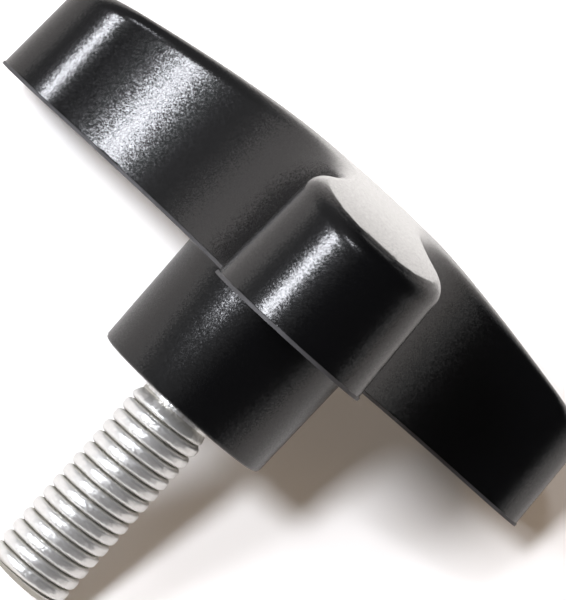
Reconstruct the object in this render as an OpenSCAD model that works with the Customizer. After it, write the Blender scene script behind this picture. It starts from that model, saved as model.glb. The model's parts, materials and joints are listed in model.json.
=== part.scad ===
// Star knob screw: a moulded three-lobed hand knob on a hub, with a threaded steel
// stud moulded into it. It is drawn along its own screw axis (z up through the knob,
// z = 0 at the parting line between head and hub) and then laid down the way it
// comes to rest: on two lobes and the end of the stud.

/* [Star head] */

// number of lobes, odd so that the knob rests on two of them
lobes = 3; // [3, 5, 7]
// diameter over the lobe tips, at the parting line
head_d = 54.4; // [50:0.2:62]
// radius of each rounded lobe, at the parting line
lobe_r = 5.7; // [4.8:0.1:6.6]
// diameter of the circle that the floors of the valleys touch
valley_d = 14.6; // [14.6:0.2:20]
// thickness of the head at its middle
head_h = 11; // [10:0.1:13]
// thickness of the head at the lobe tips
tip_h = 7.4; // [5:0.1:9]
// draft of the moulded sides, in degrees
head_draft = 2.8; // [0.5:0.1:4]

/* [Hub] */

// diameter at the clamping face
hub_d = 13.7; // [12:0.1:14]
// height from the clamping face to the parting line
hub_h = 8.7; // [5:0.1:14]
// draft of the hub, which widens towards the head, in degrees
hub_draft = 1.2; // [0.5:0.1:1.6]
// bevel round the clamping face
hub_bevel = 0.3; // [0.1:0.1:0.8]
// depth of the shallow recess round the stud
relief_h = 0.5; // [0.3:0.1:1.5]

/* [Stud] */

// major diameter of the thread (M6)
stud_d = 6; // [5:1:8]
// length that stands out of the hub
stud_l = 16; // [10:1:30]
// pitch of the thread
stud_pitch = 1; // [0.8:0.05:1.25]
// bevel at the free end of the thread
stud_bevel = 0.7; // [0.4:0.1:1.2]
// plain neck that shows between the hub and the thread
neck_l = 0.5; // [0.3:0.1:1.5]
// hexagon head moulded into the plastic, across its flats
anchor_af = 10; // [9:0.5:13]
// thickness of that head
anchor_h = 4; // [3:0.5:4.5]
// how far that head sits above the parting line
anchor_seat = 0.5; // [0.3:0.1:1.5]

/* [Fit] */

// gap between plastic and steel, all round the moulded-in part
mould_gap = 0.02; // [0.01:0.01:0.1]
// gap between the crests of the thread and the side of the recess
relief_gap = 0.3; // [0.1:0.1:0.8]

/* [Hidden] */

facets = 96;
dome_facets = 360;

// star outline: lobe circles and valley circles that touch each other
step_a = 360 / lobes;
half_a = step_a / 2;
lobe_c = head_d / 2 - lobe_r;
floor_r = valley_d / 2;
valley_r = (pow(lobe_c, 2) + pow(floor_r, 2) - 2 * lobe_c * floor_r * cos(half_a)
  - pow(lobe_r, 2)) / (2 * (lobe_c * cos(half_a) + lobe_r - floor_r));
valley_c = floor_r + valley_r;
// the lobes reach this far into the valley sides, so that they fuse into one solid
lobe_lap = 0.03;
// the cutters pass the faces that they cut by this much
cut_over = 1;

// draft and dome
head_slope = tan(head_draft);
dome_drop = head_h - tip_h;
dome_r = (pow(head_d / 2, 2) + pow(dome_drop, 2)) / (2 * dome_drop);
function dome_z(r) = head_h - dome_r + sqrt(pow(dome_r, 2) - pow(r, 2));

// hub and stud
hub_r = hub_d / 2;
// the hub reaches this far into the head, short of where the valleys are drafted in
hub_root = 1;
function hub_r_at(z) = hub_r + (z + hub_h) * tan(hub_draft);
stud_r = stud_d / 2;
stud_end = -hub_h - stud_l;
// the neck has the pitch diameter, as the blank of a rolled thread has
neck_r = stud_r - 3 / 16 * sqrt(3) * stud_pitch;
neck_end = -hub_h - neck_l;

// how it rests: the two lower lobes touch the table with the edge of the parting
// line, and the stud with the edge of its end bevel
low_r = lobe_c * cos(half_a) + lobe_r + lobe_lap;
lean = atan((low_r - stud_r) / (-stud_end - stud_bevel));
lift = low_r * cos(lean);
// x of a point at height z on the screw axis and r towards the table
function laid_x(z, r) = z * cos(lean) + r * sin(lean);
low_top_z = dome_z(norm([low_r, lobe_c * sin(half_a)]));
x_high = laid_x(low_top_z, low_r - low_top_z * head_slope);
x_low = min(laid_x(stud_end, -(stud_r - stud_bevel)),
            laid_x(stud_end + stud_bevel, -stud_r));
shift_x = -(x_high + x_low) / 2;

// puts a child drawn along the screw axis on the table
module laid() {
  translate([shift_x, 0, lift]) rotate([0, 90 - lean, 0]) children();
}

// where the lobes and the valleys stand round the axis
module at_lobes(offset_a = 0) {
  for (i = [0 : lobes - 1])
    rotate(180 + offset_a + i * step_a) children();
}

// straight-sided web whose corners are the centres of lobes and valleys
module web() {
  linear_extrude(head_h)
    polygon([for (i = [0 : lobes - 1], k = [0, 1])
      let (a = 180 + i * step_a + k * half_a, r = k == 0 ? lobe_c : valley_c)
        r * [cos(a), sin(a)]]);
}

// finger valley cutter, wider towards the top by the draft
module valley_cutter() {
  translate([valley_c, 0, -cut_over])
    cylinder(h = head_h + 2 * cut_over, r1 = valley_r - cut_over * head_slope,
             r2 = valley_r + (head_h + cut_over) * head_slope, $fn = facets);
}

// one lobe, narrower towards the top by the draft
module lobe() {
  translate([lobe_c, 0, 0])
    cylinder(h = head_h, r1 = lobe_r + lobe_lap,
             r2 = lobe_r + lobe_lap - head_h * head_slope, $fn = facets);
}

// everything under the shallow dome of the head
module dome() {
  rotate_extrude($fn = facets) intersection() {
    translate([0, head_h - dome_r]) circle(r = dome_r, $fn = dome_facets);
    square([head_d, head_h]);
  }
}

module star_head() {
  intersection() {
    union() {
      difference() {
        web();
        at_lobes(half_a) valley_cutter();
      }
      at_lobes() lobe();
    }
    dome();
  }
}

// drafted boss with the clamping face at its lower end
module hub() {
  rotate_extrude($fn = facets)
    polygon([[0, -hub_h], [hub_r - hub_bevel, -hub_h],
             [hub_r_at(hub_bevel - hub_h), hub_bevel - hub_h],
             [hub_r_at(hub_root), hub_root], [0, hub_root]]);
}

// stud with its hexagon anchor, its neck and anchor grown by grow for their place in
// the plastic
module stud_shape(grow = 0) {
  rotate_extrude($fn = facets)
    polygon([[0, stud_end], [stud_r - stud_bevel, stud_end],
             [stud_r, stud_end + stud_bevel], [stud_r, neck_end - (stud_r - neck_r)],
             [neck_r + grow, neck_end], [neck_r + grow, anchor_seat + anchor_h / 2],
             [0, anchor_seat + anchor_h / 2]]);
  translate([0, 0, anchor_seat - grow])
    cylinder(h = anchor_h + 2 * grow, d = (anchor_af + 2 * grow) / cos(30), $fn = 6);
}

// recess that clears the end of the thread, so that the clamping face can seat
module relief() {
  translate([0, 0, -hub_h - cut_over])
    cylinder(h = relief_h + cut_over, r = stud_r + relief_gap, $fn = facets);
}

// black moulded knob: head and hub are one piece
module star_knob() {
  color("#1c1c1e") laid() difference() {
    union() {
      star_head();
      hub();
    }
    relief();
    stud_shape(mould_gap);
  }
}

// zinc-plated steel stud, moulded into the knob
module threaded_stud() {
  color("#c9ccd0") laid() stud_shape();
}

star_knob();
threaded_stud();
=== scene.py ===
"""Star knob screw: the moulded knob and its threaded stud, on a pale table.

Both pieces are modelled in millimetres along their own screw axis (z up through the
knob, z = 0 on the parting line) and then laid into the frame's place in metres.
"""
import json
import logging
import math
from dataclasses import dataclass
from enum import Enum
from typing import Any, Callable, ClassVar, Sequence

import bmesh
import bpy
from mathutils import Matrix, Vector, noise


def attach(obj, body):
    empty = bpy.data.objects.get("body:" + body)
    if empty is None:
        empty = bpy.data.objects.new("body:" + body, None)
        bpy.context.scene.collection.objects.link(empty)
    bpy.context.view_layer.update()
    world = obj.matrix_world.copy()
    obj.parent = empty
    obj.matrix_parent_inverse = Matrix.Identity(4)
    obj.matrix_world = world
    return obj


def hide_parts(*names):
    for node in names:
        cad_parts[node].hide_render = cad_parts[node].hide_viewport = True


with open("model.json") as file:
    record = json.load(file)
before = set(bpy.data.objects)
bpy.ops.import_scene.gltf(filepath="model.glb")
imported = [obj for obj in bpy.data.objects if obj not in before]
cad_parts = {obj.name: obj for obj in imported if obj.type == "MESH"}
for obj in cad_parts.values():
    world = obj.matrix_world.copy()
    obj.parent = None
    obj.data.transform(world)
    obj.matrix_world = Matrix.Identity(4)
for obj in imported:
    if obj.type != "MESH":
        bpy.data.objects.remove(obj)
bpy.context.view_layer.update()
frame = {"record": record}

log = logging.getLogger("star_knob_screw")

MM = 0.001
# vertices closer together than this are merged
MERGE_MM = 0.002
# how far a vertex can stray from where it was modelled, in millimetres and radians
SLACK_MM = 0.01
SLACK_ANGLE = 1e-6
# half of the angle that one side of a hexagon takes up
HALF_HEX_SIDE = math.radians(30)
Point = tuple[float, float, float]


class Axis(Enum):
    """Directions that the modelling steps work along, in the screw frame."""

    ACROSS = (1.0, 0.0, 0.0)
    ALONG = (0.0, 1.0, 0.0)
    SCREW = (0.0, 0.0, 1.0)


class Slot(Enum):
    """Material slots of the record."""

    KNOB = "knob_plastic"
    STUD = "stud_steel"


class Mask(Enum):
    """Surface attributes that the finishes read."""

    FLASH = "flash"
    GROOVE = "groove"


def smoothstep(t: float) -> float:
    """Return t eased from 0 to 1, held at both ends."""
    t = min(max(t, 0.0), 1.0)
    return t * t * (3.0 - 2.0 * t)


def linear(colour: str) -> tuple[float, float, float, float]:
    """Turn an sRGB hex colour into linear values.

    Args:
        colour: six hex digits after a hash.

    Returns:
        Linear red, green, blue and a full alpha.
    """
    # the curve of the sRGB standard
    parts = [int(colour[i:i + 2], 16) / 255 for i in (1, 3, 5)]
    r, g, b = [c / 12.92 if c <= 0.04045 else ((c + 0.055) / 1.055) ** 2.4 for c in parts]
    return r, g, b, 1.0


# ---- modelling by hand ----------------------------------------------------------

def deselect_all() -> None:
    """Leave edit mode and deselect every object."""
    if bpy.context.object and bpy.context.object.mode != "OBJECT":
        bpy.ops.object.mode_set(mode="OBJECT")
    bpy.ops.object.select_all(action="DESELECT")


def take(obj: bpy.types.Object) -> None:
    """Make one object the only selected and active one.

    Args:
        obj: the object.
    """
    deselect_all()
    obj.select_set(True)
    bpy.context.view_layer.objects.active = obj


def edit(obj: bpy.types.Object) -> None:
    """Open one object in edit mode with vertices as the selection.

    Args:
        obj: the object.
    """
    take(obj)
    bpy.ops.object.mode_set(mode="EDIT")
    bpy.context.tool_settings.mesh_select_mode = (True, False, False)


def merge_all() -> None:
    """Select the whole mesh that is edited and merge what coincides."""
    bpy.ops.mesh.select_all(action="SELECT")
    bpy.ops.mesh.remove_doubles(threshold=MERGE_MM)


def wire(name: str, points: Sequence[Point]) -> bpy.types.Object:
    """Draw an open wire through points: a plane merged to one vertex and extruded.

    Args:
        name: name of the new object.
        points: corners of the wire, in millimetres.

    Returns:
        The new object, its origin at the world's.
    """
    deselect_all()
    bpy.ops.mesh.primitive_plane_add(size=1.0, location=points[0])
    obj = bpy.context.object
    obj.name = name
    bpy.ops.object.transform_apply(location=True, rotation=True, scale=True)
    edit(obj)
    bpy.ops.mesh.select_all(action="SELECT")
    bpy.ops.mesh.merge(type="CENTER")
    for start, stop in zip(points, points[1:]):
        step = Vector(stop) - Vector(start)
        bpy.ops.mesh.extrude_vertices_move(TRANSFORM_OT_translate={"value": step})
    bpy.ops.object.mode_set(mode="OBJECT")
    return obj


def spin(angle: float, centre: Point, steps: int) -> None:
    """Spin what is selected about a line along the screw axis.

    Args:
        angle: turn in radians, counter-clockwise from above.
        centre: a point of the line, in millimetres.
        steps: number of steps.
    """
    # the operator counts its angle clockwise
    bpy.ops.mesh.spin(steps=steps, angle=-angle, center=centre, axis=Axis.SCREW.value)


def select_where(obj: bpy.types.Object, test: Callable[[Any], bool], kind: str) -> None:
    """Select the parts of an edited mesh that pass a test.

    Args:
        obj: the object in edit mode.
        test: takes a bmesh vertex, edge or face.
        kind: "verts", "edges" or "faces".
    """
    mesh = bmesh.from_edit_mesh(obj.data)
    bpy.context.tool_settings.mesh_select_mode = tuple(
        kind == k for k in ("verts", "edges", "faces"))
    bpy.ops.mesh.select_all(action="DESELECT")
    for part in filter(test, getattr(mesh, kind)):
        part.select_set(True)
    mesh.select_flush_mode()
    bmesh.update_edit_mesh(obj.data)


def join(target: bpy.types.Object, *others: bpy.types.Object) -> None:
    """Join other objects into a target and merge what coincides.

    Args:
        target: the object that stays.
        others: the objects that go into it.
    """
    take(target)
    for other in others:
        other.select_set(True)
    bpy.ops.object.join()
    edit(target)
    merge_all()
    bpy.ops.object.mode_set(mode="OBJECT")


def cut_or_fuse(obj: bpy.types.Object, tool: bpy.types.Object, operation: str) -> None:
    """Apply a Boolean modifier and delete its tool.

    Args:
        obj: the object that is worked on.
        tool: the closed solid that works on it.
        operation: "DIFFERENCE" or "UNION".
    """
    take(obj)
    step = obj.modifiers.new("cut", "BOOLEAN")
    step.operation, step.object, step.solver = operation, tool, "EXACT"
    bpy.ops.object.modifier_apply(modifier=step.name)
    bpy.data.objects.remove(tool, do_unlink=True)


def face_outwards(obj: bpy.types.Object) -> None:
    """Merge doubles and turn every face outwards.

    Args:
        obj: the object.
    """
    edit(obj)
    merge_all()
    bpy.ops.mesh.normals_make_consistent(inside=False)
    bpy.ops.object.mode_set(mode="OBJECT")


def arc(centre: tuple[float, float], radius: float, start: float, stop: float,
        steps: int) -> list[tuple[float, float]]:
    """Return points on an arc.

    Args:
        centre: its centre.
        radius: its radius in millimetres.
        start: first angle in degrees.
        stop: last angle in degrees.
        steps: number of steps.

    Returns:
        steps + 1 points.
    """
    out = []
    for i in range(steps + 1):
        a = math.radians(start + (stop - start) * i / steps)
        out.append((centre[0] + radius * math.cos(a), centre[1] + radius * math.sin(a)))
    return out


@dataclass(frozen=True)
class ScrewPlace:
    """Where the screw axis lies in the frame.

    Args:
        up: unit vector along the screw axis, up through the knob.
        origin: the axis on the parting line, in metres.
    """

    up: Vector
    origin: Vector

    @classmethod
    def from_record(cls, record: dict[str, Any], hub_h: float) -> "ScrewPlace":
        """Read the place from the record's mounts.

        Args:
            record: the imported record.
            hub_h: height of the hub in millimetres.

        Returns:
            The place.
        """
        mounts = {m["name"]: m for m in record["mounts"]}
        up = -Vector(mounts["stud_thread"]["axis"]).normalized()
        on_axis = Vector(mounts["stud_thread"]["pos_m"])
        face = Vector(mounts["clamp_face"]["pos_m"])
        rise = (face - on_axis).dot(up) + hub_h * MM
        return cls(up, on_axis + up * rise)

    def matrix(self) -> Matrix:
        """Work out how screw millimetres turn into frame metres.

        Returns:
            Turn, scale and shift in one.
        """
        side = Vector(Axis.ALONG.value)
        turn = Matrix((side.cross(self.up), side, self.up)).transposed().to_4x4()
        return Matrix.Translation(self.origin) @ turn @ Matrix.Scale(MM, 4)

    def lay(self, obj: bpy.types.Object) -> None:
        """Put a finished mesh in its place, its object staying at the origin."""
        obj.data.transform(self.matrix())
        obj.data.update()


# ---- materials ------------------------------------------------------------------

def add_node(tree: bpy.types.NodeTree, kind: str, settings: dict[str, Any] | None = None,
             **inputs: Any) -> bpy.types.Node:
    """Add one node with its settings, values and links.

    Args:
        tree: the node tree.
        kind: the node's type name.
        settings: properties of the node.
        inputs: socket name, with _ for a space, or in and its number, to a value or
            an output socket.

    Returns:
        The node.
    """
    node = tree.nodes.new(kind)
    for name, value in (settings or {}).items():
        setattr(node, name, value)
    for name, value in inputs.items():
        numbered = name.startswith("in") and name[2:].isdigit()
        socket = node.inputs[int(name[2:]) if numbered else name.replace("_", " ")]
        if isinstance(value, bpy.types.NodeSocket):
            tree.links.new(value, socket)
        else:
            socket.default_value = value
    return node


def new_material(name: str) -> tuple[bpy.types.Material, bpy.types.NodeTree]:
    """Make an empty node material.

    Args:
        name: the material's name.

    Returns:
        The material and its node tree.
    """
    material = bpy.data.materials.new(name)
    material.use_nodes = True
    material.node_tree.nodes.clear()
    return material, material.node_tree


def grain_scale(size_mm: float) -> float:
    """Return the noise scale whose spots are size_mm wide in metre coordinates."""
    return 1.0 / (size_mm * MM)


def facets(tree: bpy.types.NodeTree, where: bpy.types.NodeSocket, size_mm: float,
           tilt: float) -> bpy.types.NodeSocket:
    """Return a normal that tips a little from one tiny cell of the surface to the next.

    Args:
        tree: the node tree.
        where: Object coordinates.
        size_mm: width of a cell.
        tilt: how far a cell can tip, as a share of the normal.

    Returns:
        The normal's output socket.
    """
    # a cell's colour runs from 0 to 1, so its middle is taken off and the rest doubled
    cells = add_node(tree, "ShaderNodeTexVoronoi", Vector=where, Scale=grain_scale(size_mm))
    centred = add_node(tree, "ShaderNodeVectorMath", {"operation": "SUBTRACT"},
                       in0=cells.outputs["Color"], in1=(0.5, 0.5, 0.5))
    scaled = add_node(tree, "ShaderNodeVectorMath", {"operation": "SCALE"},
                      in0=centred.outputs[0], Scale=2.0 * tilt)
    normal = add_node(tree, "ShaderNodeNewGeometry").outputs["Normal"]
    tipped = add_node(tree, "ShaderNodeVectorMath", {"operation": "ADD"},
                      in0=normal, in1=scaled.outputs[0])
    return add_node(tree, "ShaderNodeVectorMath", {"operation": "NORMALIZE"},
                    in0=tipped.outputs[0]).outputs[0]


@dataclass(frozen=True)
class MouldedPhenolic:
    """Compression-moulded black phenolic: glossy, with a fine grain from the mould.

    The eye sees near-black with highlights that break up into specks.
    """

    body: str = "#070708"
    # paler grey of the flash: a painted highlight of the light its burr catches
    flash: str = "#3c3c3e"
    ior: float = 1.58
    gloss_low: float = 0.19
    gloss_high: float = 0.26
    flash_rough: float = 0.55
    # the real grain is finer than a render shows, so it is drawn coarser
    grain_mm: float = 0.08
    grain_tilt: float = 0.045
    # patches of more and of less gloss, and what their noise runs between
    mottle_mm: float = 0.16
    mottle_detail: float = 3.0
    mottle_low: float = 0.3
    mottle_high: float = 0.7

    def build(self) -> bpy.types.Material:
        """Build the node tree.

        Returns:
            The material.
        """
        material, tree = new_material("moulded_black_phenolic")
        where = add_node(tree, "ShaderNodeTexCoord").outputs["Object"]
        mottle = add_node(tree, "ShaderNodeTexNoise", Vector=where,
                          Detail=self.mottle_detail, Scale=grain_scale(self.mottle_mm))
        gloss = add_node(tree, "ShaderNodeMapRange", Value=mottle.outputs["Fac"],
                         From_Min=self.mottle_low, From_Max=self.mottle_high,
                         To_Min=self.gloss_low, To_Max=self.gloss_high)
        edge = add_node(tree, "ShaderNodeAttribute",
                        {"attribute_name": Mask.FLASH.value}).outputs["Fac"]
        rough = add_node(tree, "ShaderNodeMapRange", Value=edge,
                         To_Min=gloss.outputs["Result"], To_Max=self.flash_rough)
        # the flash is painted paler as its highlight, and made rougher
        colour = add_node(tree, "ShaderNodeMix", {"data_type": "RGBA"}, in0=edge,
                          in6=linear(self.body), in7=linear(self.flash))
        shader = add_node(tree, "ShaderNodeBsdfPrincipled", IOR=self.ior,
                          Base_Color=colour.outputs[2], Roughness=rough.outputs["Result"],
                          Normal=facets(tree, where, self.grain_mm, self.grain_tilt))
        add_node(tree, "ShaderNodeOutputMaterial", Surface=shader.outputs[0])
        return material


@dataclass(frozen=True)
class ZincPlatedSteel:
    """Rolled steel thread with bright zinc plate: pale satin crests, rougher grooves painted
    darker as shade.
    """

    crest: str = "#fafaf8"
    # darker colour down in the grooves: painted shade
    groove: str = "#b4b1a8"
    crest_rough: float = 0.36
    groove_rough: float = 0.45
    # marks of the rolling dies, drawn coarser than they are
    mark_mm: float = 0.2
    mark_tilt: float = 0.1
    # the pale bloom on the zinc scatters the rest of the light
    metallic: float = 0.84

    def build(self) -> bpy.types.Material:
        """Build the node tree.

        Returns:
            The material.
        """
        material, tree = new_material("bright_zinc_plated_rolled_steel")
        where = add_node(tree, "ShaderNodeTexCoord").outputs["Object"]
        depth = add_node(tree, "ShaderNodeAttribute",
                         {"attribute_name": Mask.GROOVE.value}).outputs["Fac"]
        # the grooves are painted darker as their shade, and made rougher
        colour = add_node(tree, "ShaderNodeMix", {"data_type": "RGBA"}, in0=depth,
                          in6=linear(self.crest), in7=linear(self.groove))
        rough = add_node(tree, "ShaderNodeMapRange", Value=depth,
                         To_Min=self.crest_rough, To_Max=self.groove_rough)
        shader = add_node(tree, "ShaderNodeBsdfPrincipled", Metallic=self.metallic,
                          Base_Color=colour.outputs[2], Roughness=rough.outputs["Result"],
                          Normal=facets(tree, where, self.mark_mm, self.mark_tilt))
        add_node(tree, "ShaderNodeOutputMaterial", Surface=shader.outputs[0])
        return material


@dataclass(frozen=True)
class PaleTable:
    """Matt white laminate: pale to the camera, dimmer in reflections, keeps the shadow."""

    colour: str = "#faf9f7"
    # dimmed where plastic and steel mirror it
    mirrored: str = "#cbc9c6"
    # share of its own light, for the camera and in reflections
    glow: float = 0.06
    rough: float = 0.9
    specular: float = 0.1

    def build(self) -> bpy.types.Material:
        """Build the node tree.

        Returns:
            The material.
        """
        material, tree = new_material("matt_white_laminate")
        path = add_node(tree, "ShaderNodeLightPath")
        seen = add_node(tree, "ShaderNodeMath", {"operation": "MAXIMUM"},
                        in0=path.outputs["Is Camera Ray"],
                        in1=path.outputs["Is Glossy Ray"])
        seen = add_node(tree, "ShaderNodeMath", {"operation": "MAXIMUM"},
                        in0=seen.outputs[0], in1=path.outputs["Is Transmission Ray"])
        level = add_node(tree, "ShaderNodeMath", {"operation": "MULTIPLY"},
                         in0=seen.outputs[0], in1=self.glow)
        tone = add_node(tree, "ShaderNodeMix", {"data_type": "RGBA"},
                        in0=path.outputs["Is Glossy Ray"], in6=linear(self.colour),
                        in7=linear(self.mirrored))
        shader = add_node(tree, "ShaderNodeBsdfPrincipled",
                          Base_Color=tone.outputs[2], Roughness=self.rough,
                          Specular_IOR_Level=self.specular,
                          Emission_Color=linear(self.colour),
                          Emission_Strength=level.outputs[0])
        add_node(tree, "ShaderNodeOutputMaterial", Surface=shader.outputs[0])
        return material


def dress(obj: bpy.types.Object, material: bpy.types.Material,
          node: str) -> None:
    """Give a finished piece its material and body, and hide the CAD node it stands for.

    Args:
        obj: the finished piece.
        material: its finish.
        node: the CAD node that the piece stands for.
    """
    obj.data.materials.clear()
    obj.data.materials.append(material)
    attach(obj, "root")
    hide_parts(node)


# ---- the pieces -----------------------------------------------------------------

@dataclass
class StarKnob:
    """Lobed head and drafted hub, moulded in one shot.

    Sizes in millimetres, angles in degrees.
    """

    lobes: int = 3
    head_d: float = 54.4
    lobe_r: float = 5.7
    valley_d: float = 14.6
    head_h: float = 11.0
    tip_h: float = 7.4
    head_draft: float = 2.8
    top_round: float = 1.0
    hub_d: float = 13.7
    hub_h: float = 8.7
    hub_draft: float = 1.2
    hub_bevel: float = 0.3
    # place of the bevel's middle: a half would make it flat, less bulges it
    bevel_bulge: float = 0.3
    root_round: float = 0.12
    relief_h: float = 0.5
    relief_r: float = 3.3
    # ragged flash on the parting line: height, how far it stands out, the height in
    # which it falls back, depth and length of its waves, and how much faster they
    # change with height
    flash_h: float = 0.22
    flash_out: float = 0.04
    flash_fall: float = 0.04
    flash_rag: float = 0.07
    flash_wave: float = 0.5
    flash_stretch: float = 7.0
    # how far the underside's rim and the top's first ring reach in
    rim_in: float = 0.06
    top_flat: float = 0.4
    # rows this far from an edge keep the wall's shading straight
    hold: float = 0.15
    # width of the faces
    wall_step: float = 0.35
    dome_step: float = 1.0
    round_steps: int = 9
    root_steps: int = 6
    hub_steps: int = 160
    smooth_angle: float = 35.0

    def __post_init__(self) -> None:
        """Work out the outline's centres, the dome and where the top begins."""
        self.half = math.pi / self.lobes
        self.lobe_c = self.head_d / 2 - self.lobe_r
        floor = self.valley_d / 2
        c = math.cos(self.half)
        self.valley_r = ((self.lobe_c ** 2 + floor ** 2 - 2 * self.lobe_c * floor * c
                          - self.lobe_r ** 2)
                         / (2 * (self.lobe_c * c + self.lobe_r - floor)))
        self.valley_c = floor + self.valley_r
        drop = self.head_h - self.tip_h
        self.dome_r = ((self.head_d / 2) ** 2 + drop ** 2) / (2 * drop)
        dx = self.valley_c * math.cos(self.half) - self.lobe_c
        dy = self.valley_c * math.sin(self.half)
        self.lobe_turn = math.atan2(dy, dx)
        self.valley_turn = self.lobe_turn - self.half
        # between the rows at the foot of the wall and those at its top
        self.mid_z = self.tip_h / 2
        self.crown_in = self.top_round + self.top_flat / 2

    def dome_z(self, r: float) -> float:
        """Return the height of the dome at a distance from the axis."""
        return self.head_h - self.dome_r + math.sqrt(max(self.dome_r ** 2 - r * r, 0.0))

    def nearest_arc(self, x: float, y: float) -> tuple[Vector, bool]:
        """Find the arc of the outline that a point is next to.

        Args:
            x: place in the screw frame.
            y: place in the screw frame.

        Returns:
            The arc's centre, and whether it is a lobe's and not a valley's.
        """
        index = round((math.atan2(y, x) - math.pi) / (2 * self.half))
        lobe_a = math.pi + index * 2 * self.half
        centre = Vector((math.cos(lobe_a), math.sin(lobe_a))) * self.lobe_c
        away = Vector((x, y)) - centre
        bearing = math.atan2(away.y, away.x) - lobe_a
        bearing = (bearing + math.pi) % (2 * math.pi) - math.pi
        if abs(bearing) <= self.lobe_turn + SLACK_ANGLE:
            return centre, True
        valley_a = lobe_a + math.copysign(self.half, bearing)
        return Vector((math.cos(valley_a), math.sin(valley_a))) * self.valley_c, False

    def outward(self, x: float, y: float) -> Vector:
        """Work out the outline's outward normal next to a point of it.

        Args:
            x: place in the screw frame.
            y: place in the screw frame.

        Returns:
            A unit vector in the plane of the outline.
        """
        centre, on_lobe = self.nearest_arc(x, y)
        point = Vector((x, y))
        return (point - centre if on_lobe else centre - point).normalized()

    def inside_outline(self, x: float, y: float) -> float:
        """Work out how far a point near the undrafted outline lies inside it.

        Args:
            x: place in the screw frame.
            y: place in the screw frame.

        Returns:
            Millimetres, negative outside.
        """
        centre, on_lobe = self.nearest_arc(x, y)
        away = (Vector((x, y)) - centre).length
        return self.lobe_r - away if on_lobe else away - self.valley_r

    def on_crown(self, v: bmesh.types.BMVert) -> bool:
        """Tell whether a vertex is one of the top's, inside its rounded edge."""
        return v.co.z > self.mid_z and self.inside_outline(v.co.x, v.co.y) > self.crown_in

    def edge_profile(self) -> list[tuple[float, float]]:
        """Draw the section through the side of the head, from underside to top.

        Returns:
            Distance inwards and height of each corner.
        """
        r, top = self.top_round, self.head_h
        section = [(self.rim_in, 0.0), (0.0, 0.0), (-self.flash_out, 0.0),
                   (-self.flash_out, self.flash_h), (0.0, self.flash_h + self.flash_fall),
                   (0.0, self.flash_h + self.hold), (0.0, top - r - self.hold)]
        section += arc((r, top - r), r, 180, 90, self.round_steps)
        return section + [(r + self.top_flat, top)]

    def build_head(self) -> bpy.types.Object:
        """Spin the side's section round lobes and valleys and close the dome.

        Returns:
            The head, open on its underside inside the rim.
        """
        start = math.pi - self.lobe_turn
        centre = Vector((-self.lobe_c, 0.0, 0.0))
        out = Vector((math.cos(start), math.sin(start), 0.0))
        head = wire("knob_head", [tuple(centre + out * (self.lobe_r - inward)
                                        + Vector((0.0, 0.0, z)))
                                  for inward, z in self.edge_profile()])
        edit(head)
        bpy.ops.mesh.select_all(action="SELECT")
        for i in range(self.lobes):
            a = math.pi + i * 2 * self.half
            b = a + self.half
            turn = 2 * self.lobe_turn
            spin(turn, (self.lobe_c * math.cos(a), self.lobe_c * math.sin(a), 0.0),
                 round(turn * self.lobe_r / self.wall_step))
            turn = 2 * self.valley_turn
            spin(-turn, (self.valley_c * math.cos(b), self.valley_c * math.sin(b), 0.0),
                 round(turn * self.valley_r / self.wall_step))
        merge_all()
        bpy.ops.object.mode_set(mode="OBJECT")
        self.draft_and_dome(head)
        self.close_dome(head)
        return head

    def draft_and_dome(self, head: bpy.types.Object) -> None:
        """Lower the side under the dome, draft it and make its flash ragged.

        Args:
            head: the head, open on top.
        """
        slope = math.tan(math.radians(self.head_draft))
        for v in head.data.vertices:
            x, y, z = v.co
            out = self.outward(x, y)
            if z > self.mid_z:
                z -= self.head_h - self.dome_z(math.hypot(x, y))
            shift = -z * slope
            if 0.0 <= z <= self.flash_h + SLACK_MM and self.inside_outline(x, y) < 0.0:
                wave = Vector((x, y, self.flash_stretch * z)) / self.flash_wave
                shift += self.flash_rag * noise.noise(wave)
            v.co = (x + out.x * shift, y + out.y * shift, z)

    def close_dome(self, head: bpy.types.Object) -> None:
        """Fill the top loop, cut it into a grid and lift the grid onto the dome.

        Args:
            head: the head, open on top.
        """
        edit(head)
        select_where(head, lambda e: e.is_boundary and e.verts[0].co.z > self.mid_z, "edges")
        bpy.ops.mesh.edge_face_add()
        lines = int(self.head_d / 2 / self.dome_step)
        for axis in (Axis.ACROSS, Axis.ALONG):
            for i in range(-lines, lines + 1):
                select_where(head, lambda f: all(map(self.on_crown, f.verts)), "faces")
                place = Vector(axis.value) * (i * self.dome_step)
                bpy.ops.mesh.bisect(plane_co=place, plane_no=axis.value)
        mesh = bmesh.from_edit_mesh(head.data)
        for v in filter(self.on_crown, mesh.verts):
            v.co.z = self.dome_z(math.hypot(v.co.x, v.co.y))
        bmesh.update_edit_mesh(head.data)
        bpy.ops.object.mode_set(mode="OBJECT")

    def build_hub(self) -> bpy.types.Object:
        """Spin the hub's section once round: root, wall, bevel, face and recess.

        Returns:
            The hub, open at its root.
        """
        slope = math.tan(math.radians(self.hub_draft))
        r, low, f = self.hub_d / 2, -self.hub_h, self.root_round
        root = r + self.hub_h * slope
        b, mid = self.hub_bevel, self.hub_bevel * self.bevel_bulge
        section = arc((root + f, -f), f, 90, 180, self.root_steps)
        section += [(r + b * slope, low + b), (r - mid, low + mid), (r - b, low),
                    (self.relief_r, low), (self.relief_r, low + self.relief_h),
                    (0.0, low + self.relief_h)]
        hub = wire("knob_hub", [(x, 0.0, z) for x, z in section])
        edit(hub)
        bpy.ops.mesh.select_all(action="SELECT")
        spin(2 * math.pi, (0.0, 0.0, 0.0), self.hub_steps)
        merge_all()
        bpy.ops.object.mode_set(mode="OBJECT")
        return hub

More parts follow.
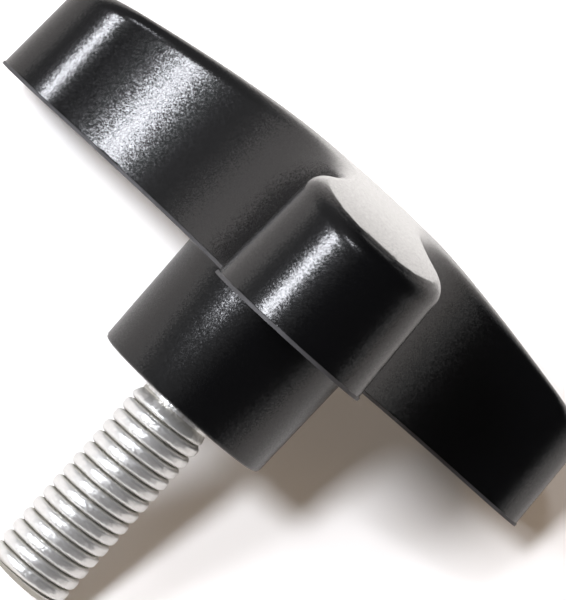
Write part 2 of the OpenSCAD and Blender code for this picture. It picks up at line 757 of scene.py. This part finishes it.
    def build(self, cavity: bpy.types.Object, place: ScrewPlace,
              finish: MouldedPhenolic) -> bpy.types.Object:
        """Model and dress the knob.

        Args:
            cavity: the solid that the steel takes out of the plastic.
            place: where the screw lies.
            finish: the plastic.

        Returns:
            The finished knob.
        """
        head, hub = self.build_head(), self.build_hub()
        join(head, hub)
        edit(head)
        select_where(head, lambda e: e.is_boundary, "edges")
        bpy.ops.mesh.fill(use_beauty=True)
        face_outwards(head)
        cut_or_fuse(head, cavity, "DIFFERENCE")
        head.name = "moulded_star_knob"
        # ring of the flash, where the plastic paints its highlight and grows rougher
        mask = head.data.attributes.new(Mask.FLASH.value, "FLOAT", "POINT")
        for i, v in enumerate(head.data.vertices):
            low = -SLACK_MM <= v.co.z <= self.flash_h + SLACK_MM
            if low and self.inside_outline(v.co.x, v.co.y) < SLACK_MM:
                mask.data[i].value = 1.0
        take(head)
        bpy.ops.object.shade_smooth_by_angle(angle=math.radians(self.smooth_angle))
        place.lay(head)
        dress(head, finish.build(), "star_knob")
        return head


@dataclass
class ThreadedStud:
    """M6 hexagon-head bolt moulded into the knob.

    Sizes in millimetres, angles in degrees.
    """

    d: float = 6.0
    length: float = 16.0
    pitch: float = 1.0
    bevel: float = 0.7
    neck_l: float = 0.5
    anchor_af: float = 10.0
    anchor_h: float = 4.0
    anchor_seat: float = 0.5
    hub_h: float = 8.7
    # room that the plastic leaves round the steel, and how far its cavity runs past
    gap: float = 0.02
    cut_over: float = 1.0
    # depth of the grooves, and the power of the section's curve: the plated crests
    # stand broad between them
    depth: float = 0.44
    crest_power: float = 4.0
    # height in which the thread fades into the neck
    run_out: float = 1.1
    # height of a crest on the side away from the knob's first lobe
    crest_z: float = -10.228
    # turns that the thread is made longer by before it is trimmed
    spare_turns: int = 4
    section_steps: int = 16
    turn_steps: int = 72
    neck_steps: int = 96
    smooth_angle: float = 40.0

    def __post_init__(self) -> None:
        """Work out the ends and the neck, which has the thread's pitch diameter."""
        self.end = -self.hub_h - self.length
        self.neck_end = -self.hub_h - self.neck_l
        self.neck_r = self.d / 2 - 3 / 16 * math.sqrt(3) * self.pitch
        self.anchor_mid = self.anchor_seat + self.anchor_h / 2

    def thread_section(self) -> list[Point]:
        """Draw one pitch of the thread's section, from groove to groove.

        Returns:
            The section's corners, about z = 0.
        """
        out = []
        for i in range(self.section_steps + 1):
            # closer together towards the groove, where the curve is steep
            t = math.sin((i / self.section_steps - 0.5) * math.pi)
            r = self.d / 2 - self.depth * abs(t) ** self.crest_power
            out.append((r, 0.0, t * self.pitch / 2))
        return out

    def hexagon(self, grow: float, name: str) -> bpy.types.Object:
        """Add the bolt's head as a closed prism.

        Args:
            grow: how far it is grown all round.
            name: name of the new object.

        Returns:
            The prism.
        """
        deselect_all()
        bpy.ops.mesh.primitive_cylinder_add(
            vertices=6, depth=self.anchor_h + 2 * grow,
            radius=(self.anchor_af / 2 + grow) / math.cos(HALF_HEX_SIDE),
            location=(0.0, 0.0, self.anchor_mid), rotation=(0.0, 0.0, HALF_HEX_SIDE))
        obj = bpy.context.object
        obj.name = name
        bpy.ops.object.transform_apply(location=True, rotation=True, scale=True)
        return obj

    def cavity(self) -> bpy.types.Object:
        """Model the solid that the plastic leaves free round head and neck.

        Returns:
            The solid, which the knob uses up.
        """
        head = self.hexagon(self.gap, "cavity")
        low = -self.hub_h - self.cut_over
        deselect_all()
        bpy.ops.mesh.primitive_cylinder_add(
            vertices=self.neck_steps, depth=self.anchor_mid - low,
            radius=self.neck_r + self.gap,
            location=(0.0, 0.0, (low + self.anchor_mid) / 2))
        neck = bpy.context.object
        bpy.ops.object.transform_apply(location=True, rotation=True, scale=True)
        cut_or_fuse(head, neck, "UNION")
        return head

    def build_shank(self) -> bpy.types.Object:
        """Screw the section up the axis, trim it and run it out into the neck.

        Returns:
            The shank, closed, with its neck inside the knob.
        """
        turns = int(self.length / self.pitch) + self.spare_turns
        below = math.ceil((self.crest_z - self.end) / self.pitch + 1)
        low = self.crest_z - below * self.pitch
        shank = wire("stud_shank", [(x, y, z + low) for x, y, z in self.thread_section()])
        step = shank.modifiers.new("thread", "SCREW")
        step.axis, step.angle, step.screw_offset = "Z", 2 * math.pi, self.pitch
        step.iterations, step.steps = turns, self.turn_steps
        step.render_steps = self.turn_steps
        step.use_merge_vertices, step.merge_threshold = True, MERGE_MM
        take(shank)
        bpy.ops.object.modifier_apply(modifier=step.name)
        edit(shank)
        merge_all()
        up = Axis.SCREW.value
        bpy.ops.mesh.bisect(plane_co=(0, 0, self.end), plane_no=up, clear_inner=True,
                            use_fill=True)
        bpy.ops.mesh.select_all(action="SELECT")
        bpy.ops.mesh.bisect(plane_co=(0, 0, self.neck_end), plane_no=up,
                            clear_outer=True, use_fill=True)
        bpy.ops.mesh.extrude_region_move(
            TRANSFORM_OT_translate={"value": (0, 0, self.anchor_mid - self.neck_end)})
        bpy.ops.object.mode_set(mode="OBJECT")
        for v in shank.data.vertices:
            r = math.hypot(v.co.x, v.co.y)
            if r > SLACK_MM:
                scale = self.trimmed(r, v.co.z) / r
                v.co.x, v.co.y = v.co.x * scale, v.co.y * scale
        face_outwards(shank)
        return shank

    def trimmed(self, r: float, z: float) -> float:
        """Hold a radius of the thread inside the end bevel and the run-out.

        Args:
            r: the radius.
            z: height at which it stands.

        Returns:
            The radius that is left.
        """
        r = min(r, self.d / 2 - self.bevel + (z - self.end))
        kept = smoothstep((self.neck_end - z) / self.run_out)
        return self.neck_r + (r - self.neck_r) * kept

    def build(self, place: ScrewPlace, finish: ZincPlatedSteel) -> bpy.types.Object:
        """Model and dress the stud.

        Args:
            place: where the screw lies.
            finish: the steel.

        Returns:
            The finished stud.
        """
        shank = self.build_shank()
        cut_or_fuse(shank, self.hexagon(0.0, "anchor"), "UNION")
        face_outwards(shank)
        shank.name = "zinc_plated_stud"
        # how deep each point lies in a groove, where the steel paints shade and grows rougher
        mask = shank.data.attributes.new(Mask.GROOVE.value, "FLOAT", "POINT")
        for i, v in enumerate(shank.data.vertices):
            if v.co.z < self.neck_end:
                below = (self.d / 2 - math.hypot(v.co.x, v.co.y)) / self.depth
                mask.data[i].value = smoothstep(below)
        take(shank)
        bpy.ops.object.shade_smooth_by_angle(angle=math.radians(self.smooth_angle))
        place.lay(shank)
        dress(shank, finish.build(), "threaded_stud")
        return shank


# ---- table, light and camera ----------------------------------------------------

@dataclass(frozen=True)
class Bearing:
    """A direction round the screw axis as the camera sees it.

    Args:
        azimuth: degrees from the camera's side, towards the picture's right.
        elevation: degrees towards the knob's top.
    """

    azimuth: float
    elevation: float

    # the camera's side, in degrees round the screw axis
    CAMERA_SIDE: ClassVar[float] = 174.841

    def vector(self, place: ScrewPlace) -> Vector:
        """Turn the direction into the frame's.

        Args:
            place: where the screw lies.

        Returns:
            A unit vector.
        """
        a = math.radians(self.CAMERA_SIDE + self.azimuth)
        e = math.radians(self.elevation)
        along = Vector((math.cos(a) * math.cos(e), math.sin(a) * math.cos(e), math.sin(e)))
        return (place.matrix().to_3x3() @ along).normalized()


@dataclass(frozen=True)
class SoftLamp:
    """A round area lamp that faces the screw.

    Args:
        name: its object's name.
        bearing: where it stands, seen from the parting line on the screw axis.
        distance: how far away it stands, in metres.
        width: its diameter in metres.
        watts: its power.
        mirrored: whether plastic and steel mirror it.
        colour: its colour as sRGB hex.
    """

    name: str
    bearing: Bearing
    distance: float
    width: float
    watts: float
    mirrored: bool = True
    colour: str = "#f6f8ff"

    def build(self, place: ScrewPlace) -> bpy.types.Object:
        """Add the lamp, in its place.

        Args:
            place: where the screw lies.

        Returns:
            The lamp.
        """
        way = self.bearing.vector(place)
        deselect_all()
        bpy.ops.object.light_add(type="AREA", location=place.origin + way * self.distance)
        lamp = bpy.context.object
        lamp.name = self.name
        lamp.rotation_euler = way.to_track_quat("Z", "Y").to_euler()
        lamp.data.shape, lamp.data.size = "DISK", self.width
        lamp.data.energy = self.watts
        lamp.data.color = linear(self.colour)[:3]
        lamp.visible_glossy = self.mirrored
        return lamp


@dataclass
class Studio:
    """Pale table, four lamps on the knob, one on the table beyond it, and the room."""

    table_size: float = 3.0
    key: SoftLamp = SoftLamp("key_lamp", Bearing(-40.0, 4.5), 1.2, 0.27, 5.9)
    # reaches the hub, whose wall leans the other way
    low_key: SoftLamp = SoftLamp("low_key_lamp", Bearing(-36.0, -6.0), 1.2, 0.16, 2.6)
    # shines past the knob's walls on its rounded edges
    edge: SoftLamp = SoftLamp("edge_lamp", Bearing(-20.0, 34.0), 1.0, 0.13, 1.1)
    # casts the shadow; isn't mirrored, or the walls would go grey
    overhead: SoftLamp = SoftLamp("overhead_lamp", Bearing(-21.0, 5.0), 1.2, 0.2, 13.0, False)
    # lights the table beyond the knob, which the dome mirrors at a low angle
    backdrop_at: Point = (0.055, 0.0, 0.6)
    backdrop_cone: float = 7.0
    backdrop_blend: float = 1.0
    backdrop_watts: float = 36.0
    # what gloss sees: a pale horizon that fades with height, over room_fade
    room_low: float = 0.5
    room_high: float = 0.02
    room_fade: tuple[float, float] = (0.035, 0.27)
    # and a wall that grows paler towards +Y, over side_fade
    room_side: float = 0.24
    side_fade: tuple[float, float] = (-0.1, 0.5)
    # even fill for what scatters light, a little warm
    ambient: float = 0.24
    fill_colour: str = "#ffdcb8"
    sky_colour: str = "#ffffff"

    def build(self, place: ScrewPlace, finish: PaleTable) -> None:
        """Build the table, the lamps and the room.

        Args:
            place: where the screw lies.
            finish: the table's laminate.
        """
        deselect_all()
        bpy.ops.mesh.primitive_plane_add(size=self.table_size, location=(0, 0, 0))
        table = bpy.context.object
        table.name = "table"
        table.data.materials.append(finish.build())
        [lamp.build(place) for lamp in (self.key, self.low_key, self.edge,
                                                     self.overhead)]
        self.build_backdrop_lamp()
        self.build_room()

    def build_backdrop_lamp(self) -> bpy.types.Object:
        """Add a narrow lamp that lights only the table beyond the knob.

        Returns:
            The lamp.
        """
        deselect_all()
        bpy.ops.object.light_add(type="SPOT", location=self.backdrop_at)
        lamp = bpy.context.object
        lamp.name = "backdrop_lamp"
        lamp.data.energy = self.backdrop_watts
        lamp.data.spot_size = math.radians(self.backdrop_cone)
        lamp.data.spot_blend = self.backdrop_blend
        lamp.visible_glossy = False
        return lamp

    def build_room(self) -> None:
        """Make the room white to the camera, dark with a pale horizon in gloss."""
        world = bpy.data.worlds.new("room")
        bpy.context.scene.world = world
        world.use_nodes = True
        tree = world.node_tree
        tree.nodes.clear()
        path = add_node(tree, "ShaderNodeLightPath")
        way = add_node(tree, "ShaderNodeTexCoord").outputs["Generated"]
        way = add_node(tree, "ShaderNodeSeparateXYZ", Vector=way)
        height, side = way.outputs["Z"], way.outputs["Y"]
        low, high = self.room_fade
        band = add_node(tree, "ShaderNodeMapRange", {"interpolation_type": "SMOOTHSTEP"},
                        Value=height, From_Min=low, From_Max=high,
                        To_Min=self.room_low, To_Max=self.room_high)
        low, high = self.side_fade
        window = add_node(tree, "ShaderNodeMapRange", {"interpolation_type": "SMOOTHSTEP"},
                          Value=side, From_Min=low, From_Max=high, To_Min=0.0,
                          To_Max=self.room_side)
        band = add_node(tree, "ShaderNodeMath", {"operation": "MAXIMUM"},
                        in0=band.outputs["Result"], in1=window.outputs["Result"])
        shiny = add_node(tree, "ShaderNodeMath", {"operation": "MAXIMUM"},
                         in0=path.outputs["Is Glossy Ray"],
                         in1=path.outputs["Is Transmission Ray"])
        level = add_node(tree, "ShaderNodeMix", {"data_type": "FLOAT"},
                         in0=shiny.outputs[0], in2=self.ambient, in3=band.outputs[0])
        # a strength of 1 is white
        level = add_node(tree, "ShaderNodeMix", {"data_type": "FLOAT"},
                         in0=path.outputs["Is Camera Ray"], in2=level.outputs[0], in3=1.0)
        tint = add_node(tree, "ShaderNodeMix", {"data_type": "RGBA"},
                        in0=path.outputs["Is Diffuse Ray"], in6=linear(self.sky_colour),
                        in7=linear(self.fill_colour))
        light = add_node(tree, "ShaderNodeBackground", Color=tint.outputs[2],
                         Strength=level.outputs[0])
        add_node(tree, "ShaderNodeOutputWorld", Surface=light.outputs[0])


@dataclass
class PictureCamera:
    """The camera, placed round the screw axis.

    Lengths in millimetres, the roll in degrees and the clipping range in metres.
    """

    away: float = 206.571
    height: float = 5.16
    aim_right: float = 0.347
    aim_height: float = 1.07
    roll: float = 42.25
    lens: float = 196.139
    sensor: float = 36.0
    clip: tuple[float, float] = (0.001, 20.0)

    def build(self, place: ScrewPlace) -> bpy.types.Object:
        """Create the camera and make it the scene's.

        Args:
            place: where the screw lies.

        Returns:
            The camera.
        """
        turn = Matrix.Rotation(math.radians(Bearing.CAMERA_SIDE), 4, "Z")
        to_frame = place.matrix() @ turn
        eye = to_frame @ Vector((self.away, 0.0, self.height))
        aim = to_frame @ Vector((0.0, self.aim_right, self.aim_height))
        ahead = (aim - eye).normalized()
        right = ahead.cross(place.up).normalized()
        above = right.cross(ahead)
        r = math.radians(self.roll)
        rolled = right * math.cos(r) + above * math.sin(r)
        top = above * math.cos(r) - right * math.sin(r)
        data = bpy.data.cameras.new("picture_camera")
        camera = bpy.data.objects.new("picture_camera", data)
        bpy.context.collection.objects.link(camera)
        camera.matrix_world = Matrix.Translation(eye) @ Matrix(
            (rolled, top, -ahead)).transposed().to_4x4()
        data.sensor_fit, data.sensor_width = "HORIZONTAL", self.sensor
        data.lens = self.lens
        data.clip_start, data.clip_end = self.clip
        bpy.context.scene.camera = camera
        return camera


def main() -> None:
    """Build the knob, the stud, the studio and the camera."""
    logging.basicConfig(level=logging.INFO, format="%(name)s: %(message)s")
    knob, stud = StarKnob(), ThreadedStud()
    place = ScrewPlace.from_record(frame["record"], knob.hub_h)
    shaft = stud.build(place, ZincPlatedSteel())
    log.info("%s: %d faces", shaft.name, len(shaft.data.polygons))
    body = knob.build(stud.cavity(), place, MouldedPhenolic())
    log.info("%s: %d faces", body.name, len(body.data.polygons))
    Studio().build(place, PaleTable())
    log.info("table, lamps and room")
    camera = PictureCamera().build(place)
    log.info("%s", camera.name)
    bpy.context.scene.view_settings.view_transform = "Standard"


if __name__ == "__main__":
    main()
